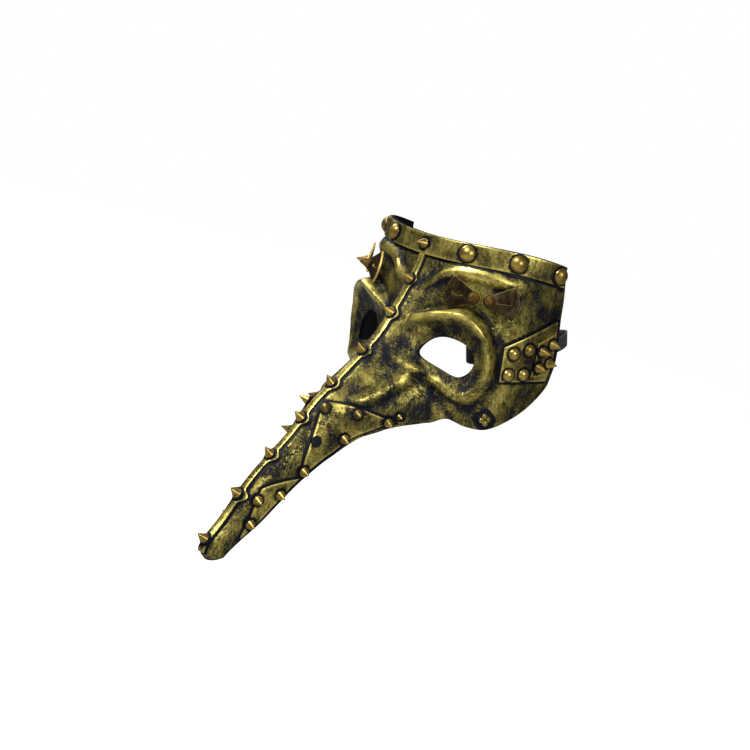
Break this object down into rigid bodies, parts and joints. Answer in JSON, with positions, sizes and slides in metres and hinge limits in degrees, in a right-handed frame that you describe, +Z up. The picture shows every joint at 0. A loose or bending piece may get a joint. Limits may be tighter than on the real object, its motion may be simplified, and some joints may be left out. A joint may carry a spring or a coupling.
{
  "type": "plague doctor mask",
  "caption": "Long-nosed plague doctor half mask with a riveted forehead band, studded plates, clock-gear sectors and an elastic strap.",
  "frame": {"origin": "on the mid-line at eye height, in the plane of the forehead's front, where the mask meets the bridge of the wearer's nose", "axes": "+X towards the wearer's left, +Y towards the wearer's head, +Z up"},
  "size_m": [0.187, 0.245, 0.2628],
  "materials": {
    "gilded_shell": "gold brushed thinly over black, satin",
    "gilded_trim": "gold brushed over black, brighter on the edges",
    "gilded_studs": "gold paint, semi-gloss, dark at the base",
    "bronze_gears": "dark bronze paint with rubbed edges",
    "bronze_studs": "bronze paint, semi-gloss",
    "black_elastic": "black woven elastic",
    "black_rivets": "black"
  },
  "bodies": {
    "mask": {"face_shell": "gilded_shell", "eye_ring_left": "gilded_shell", "eye_ring_right": "gilded_shell", "forehead_band": "gilded_trim", "ridge_strip": "gilded_trim", "nose_plate_upper_left": "gilded_trim", "nose_plate_upper_right": "gilded_trim", "nose_plate_lower_left": "gilded_trim", "nose_plate_lower_right": "gilded_trim", "temple_plate_left": "gilded_trim", "temple_plate_right": "gilded_trim", "temple_badge_left": "gilded_trim", "temple_badge_right": "gilded_trim", "ridge_cones": "gilded_studs", "band_domes": "gilded_studs", "nose_cones_left": "gilded_studs", "nose_cones_right": "gilded_studs", "temple_domes_left": "gilded_studs", "temple_domes_right": "gilded_studs", "temple_cones_left": "gilded_studs", "temple_cones_right": "gilded_studs", "corner_stud_left": "gilded_studs", "corner_stud_right": "gilded_studs", "cheek_flower_left": "gilded_studs", "cheek_flower_right": "gilded_studs", "pivot_studs_left": "bronze_studs", "pivot_studs_right": "bronze_studs", "pivot_spacers_left": "bronze_studs", "pivot_spacers_right": "bronze_studs", "elastic_strap": "black_elastic", "strap_rivet_left": "black_rivets", "strap_rivet_right": "black_rivets"},
    "inner_left_sector": {"gear_inner_left": "bronze_gears"},
    "outer_left_sector": {"gear_outer_left": "bronze_gears"},
    "inner_right_sector": {"gear_inner_right": "bronze_gears"},
    "outer_right_sector": {"gear_outer_right": "bronze_gears"}
  },
  "joints": [
    {"name": "inner_left_swivel", "type": "hinge", "parent": "mask", "child": "inner_left_sector", "pos_m": [0.05461, 0.00471, 0.04681], "axis": [0.4153, -0.9093, 0.0264], "range_deg": [-14, 1]},
    {"name": "outer_left_swivel", "type": "hinge", "parent": "mask", "child": "outer_left_sector", "pos_m": [0.06367, 0.01149, 0.04777], "axis": [0.7704, -0.6376, -0.0086], "range_deg": [-12, 12]},
    {"name": "inner_right_swivel", "type": "hinge", "parent": "mask", "child": "inner_right_sector", "pos_m": [-0.05461, 0.00471, 0.04681], "axis": [-0.4153, -0.9093, 0.0264], "range_deg": [-1, 14]},
    {"name": "outer_right_swivel", "type": "hinge", "parent": "mask", "child": "outer_right_sector", "pos_m": [-0.06367, 0.01149, 0.04777], "axis": [-0.7704, -0.6376, -0.0086], "range_deg": [-12, 12]}
  ]
}
